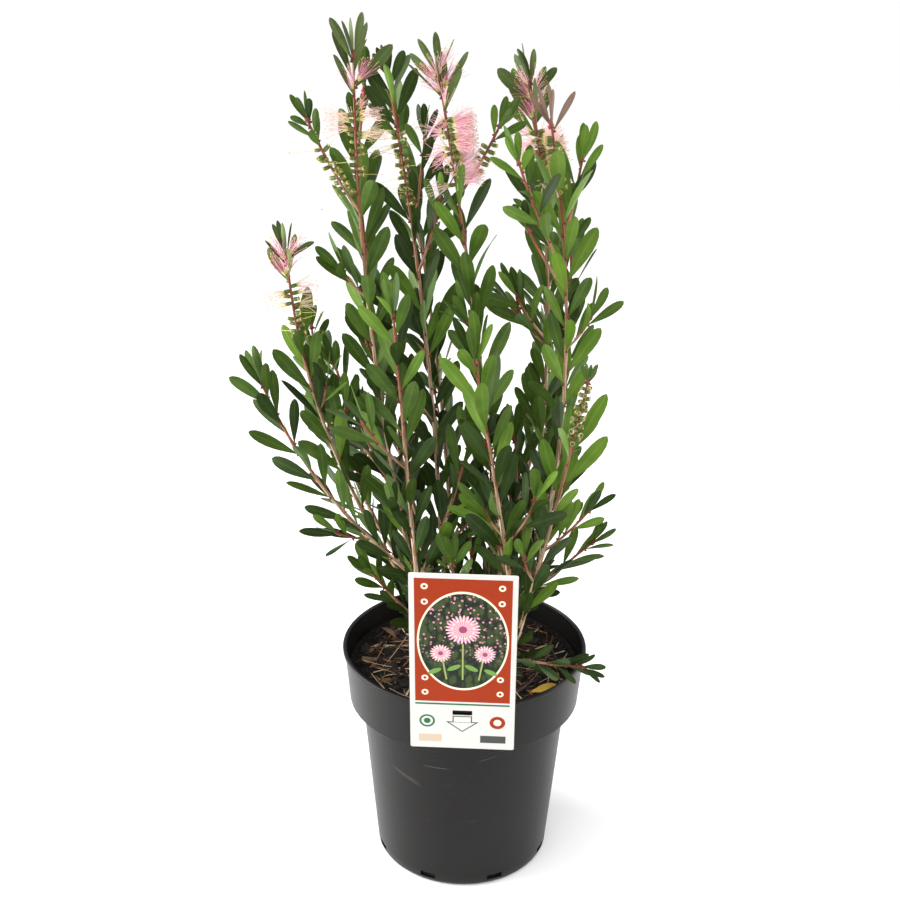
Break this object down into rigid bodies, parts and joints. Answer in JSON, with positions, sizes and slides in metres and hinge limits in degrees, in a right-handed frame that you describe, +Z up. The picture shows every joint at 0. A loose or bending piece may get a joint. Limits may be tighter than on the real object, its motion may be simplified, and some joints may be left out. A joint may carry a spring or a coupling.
{
  "type": "potted bottlebrush plant",
  "caption": "Upright bottlebrush shrub with pink and cream flower brushes, growing in a round dark plastic nursery pot with a deep collar and a hanging card tag",
  "frame": {"origin": "centre of the pot's flat underside, on the surface it stands on", "axes": "+Z up, +X to the right and -Y towards the viewer of the tag"},
  "size_m": [0.298, 0.2347, 0.691],
  "materials": {
    "pot_plastic": "dark charcoal moulded plastic with a satin sheen and faint scuffs",
    "potting_mix": "rough dark composted bark with dry straw and chips on top",
    "tag_card": "white printed plastic card",
    "bark": "pale pinkish tan bark that peels in strings",
    "foliage": "matt mid-green leaves with pink and cream stamens"
  },
  "bodies": {
    "root": {"pot": "pot_plastic", "potting_mix": "potting_mix", "plant_tag": "tag_card", "stem": "bark", "cane_tall_left": "bark", "cane_tall_middle": "bark", "cane_tall_right": "bark", "cane_right": "bark", "cane_tall_inner": "bark", "cane_left_flower": "bark", "cane_left_outer": "bark", "cane_front_bud": "bark", "cane_right_fruit": "bark", "cane_left_inner": "bark", "cane_left_middle": "bark", "cane_low_right": "bark", "cane_low_lying": "bark", "cane_inner_cross": "bark", "cane_inner_right": "bark", "cane_back_left": "bark", "cane_back_middle": "bark", "cane_back_right": "bark", "cane_back_far_left": "bark", "cane_back_far_right": "bark", "shoot_tall_left": "foliage", "shoot_tall_middle": "foliage", "shoot_tall_right": "foliage", "shoot_right": "foliage", "shoot_tall_inner": "foliage", "shoot_left_flower": "foliage", "shoot_left_outer": "foliage", "shoot_front_bud": "foliage", "shoot_right_fruit": "foliage", "shoot_left_inner": "foliage", "shoot_left_middle": "foliage", "shoot_low_right": "foliage", "shoot_low_lying": "foliage", "shoot_inner_cross": "foliage", "shoot_inner_right": "foliage", "shoot_back_left": "foliage", "shoot_back_middle": "foliage", "shoot_back_right": "foliage", "shoot_back_far_left": "foliage", "shoot_back_far_right": "foliage", "shoot_low_left": "foliage", "shoot_low_front": "foliage", "shoot_low_back_left": "foliage", "shoot_low_back_right": "foliage"}
  },
  "joints": []
}
